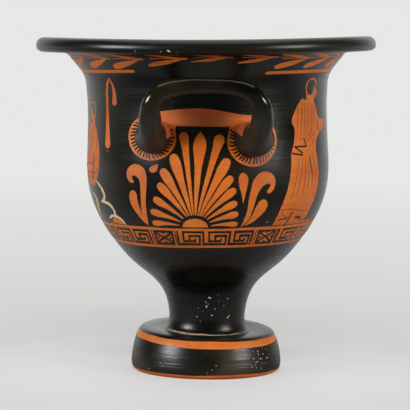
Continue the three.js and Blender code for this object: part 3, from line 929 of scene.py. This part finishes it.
def add_light(name, place, aim, size, power, mirrored=True, lights=True):
    light = bpy.data.lights.new(name, "AREA")
    light.shape = "RECTANGLE"
    light.size, light.size_y = size
    light.energy = power
    lamp = bpy.data.objects.new(name, light)
    lamp.location = place
    lamp.rotation_euler = (Vector(aim) - Vector(place)).to_track_quat("-Z", "Y").to_euler()
    lamp.visible_glossy = mirrored
    lamp.visible_diffuse = lights
    bpy.context.scene.collection.objects.link(lamp)


add_light("softbox_left", (-1.60, -0.96, 0.66), (0, 0, 0.20), (0.70, 0.48), 21, lights=False)
add_light("softbox_right", (1.60, -0.96, 0.66), (0, 0, 0.20), (0.62, 0.48), 12, lights=False)
add_light("fill_left", (-1.55, -1.05, 0.42), (0, 0, 0.20), (0.8, 0.8), 20, mirrored=False)
add_light("fill_right", (1.55, -1.05, 0.42), (0, 0, 0.20), (0.8, 0.8), 20, mirrored=False)
add_light("front_light", (0, -1.5, 1.55), (0, 0, 0.15), (0.9, 0.22), 17, mirrored=False)
add_light("top_light", (0, 0.2, 2.0), (0, 0, 0), (1.8, 1.8), 12)

backdrop = (0.80, 0.80, 0.795, 1)
world = bpy.data.worlds.new("studio_air")
bpy.context.scene.world = world
world.use_nodes = True
air = world.node_tree.nodes
air_links = world.node_tree.links
air["Background"].inputs["Color"].default_value = backdrop
facing = air.new("ShaderNodeSeparateXYZ")
air_links.new(air.new("ShaderNodeTexCoord").outputs["Generated"], facing.inputs[0])
room = air.new("ShaderNodeMapRange")
room.interpolation_type = "SMOOTHSTEP"
for slot, value in (("From Min", 0.40), ("From Max", 1.0), ("To Min", 0.012), ("To Max", 1.0)):
    room.inputs[slot].default_value = value
air_links.new(facing.outputs["Y"], room.inputs["Value"])
lit_air = air.new("ShaderNodeBackground")
air_links.new(room.outputs[0], lit_air.inputs["Color"])
ray = air.new("ShaderNodeLightPath")
either = air.new("ShaderNodeMixShader")
air_links.new(ray.outputs["Is Camera Ray"], either.inputs[0])
air_links.new(lit_air.outputs[0], either.inputs[1])
air_links.new(air["Background"].outputs[0], either.inputs[2])
air_links.new(either.outputs[0], air["World Output"].inputs["Surface"])

floor_half = 14
floor_corners = [(x * floor_half, y * floor_half, 0) for x, y in ((-1, -1), (1, -1), (1, 1), (-1, 1))]
floor_mesh = bpy.data.meshes.new("floor")
floor_mesh.from_pydata(floor_corners, [], [(0, 1, 2, 3)])
floor = bpy.data.objects.new("floor", floor_mesh)
bpy.context.scene.collection.objects.link(floor)
paper, paper_shader, paper_links, add, noise, ramp, mix, bump = new_material("floor_paper")
seen = add("ShaderNodeLightPath").outputs["Is Camera Ray"]
spot = add("ShaderNodeTexCoord").outputs["Object"]
span = add("ShaderNodeVectorMath", {0: spot}, operation="LENGTH").outputs["Value"]
way = add("ShaderNodeVectorMath", {0: spot}, operation="NORMALIZE").outputs["Vector"]
# Painted shade: to reflections and bounced light the floor is dark towards the front and pale behind, a
# little lighter close round the vessel; the camera sees the pale sheet instead.
forward = add("ShaderNodeMapRange", {"Value": add("ShaderNodeSeparateXYZ", {0: way}).outputs["Y"],
                                     "From Min": -0.5, "From Max": 0.8, "To Min": 0.06, "To Max": 0.75},
              interpolation_type="SMOOTHSTEP")
share = add("ShaderNodeMath", {0: span, 1: 2.4}, operation="DIVIDE").outputs[0]
near = ramp(share, (0.10, (0.34,)), (0.19, (0,)))
mirrored = add("ShaderNodeMath", {0: forward.outputs[0], 1: near}, operation="MAXIMUM").outputs[0]
sheet = ramp(noise(3, 3), (0.3, (0.86, 0.86, 0.855)), (0.7, (0.89, 0.89, 0.885)))
paper_links.new(mix(seen, mirrored, sheet), paper_shader.inputs["Base Color"])
paper_shader.inputs["Roughness"].default_value = 0.8
# Painted light: the floor glows. To the camera the glow is brightest hard by the foot, dimmer about a quarter
# metre out and rising to the backdrop's brightness far off, and it outweighs the lit paper more with
# distance; to other rays it has the darker colour above and takes over only further out.
even = ramp(share, (0.03, (0.94, 0.935, 0.92)), (0.10, (0.67, 0.665, 0.65)), (0.22, (0.685, 0.68, 0.665)),
            (0.45, (0.74, 0.737, 0.73)), (1.0, backdrop[:3]))
glow = add("ShaderNodeEmission", {"Color": mix(seen, mirrored, even)})
near_far = mix(seen, ramp(share, (0.15, (0,)), (0.6, (1,))),
               ramp(share, (0.03, (0.35,)), (0.2, (0.92,)), (1.0, (1,))))
blend = add("ShaderNodeMixShader", {0: near_far, 1: paper_shader.outputs[0], 2: glow.outputs[0]})
paper_links.new(blend.outputs[0], paper.node_tree.nodes["Material Output"].inputs["Surface"])
floor_mesh.materials.append(paper)

camera = bpy.data.cameras.new("camera")
camera.lens = camera_lens
camera.sensor_width = 36
camera.shift_x = camera_shift
eye = bpy.data.objects.new("camera", camera)
eye.matrix_world = (Matrix.Translation((0, -camera_distance, camera_height))
                    @ Matrix.Rotation(math.pi / 2 - camera_tilt, 4, "X")
                    @ Matrix.Rotation(camera_roll, 4, "Z"))
bpy.context.scene.collection.objects.link(eye)
bpy.context.scene.camera = eye
bpy.context.scene.view_settings.view_transform = "Standard"
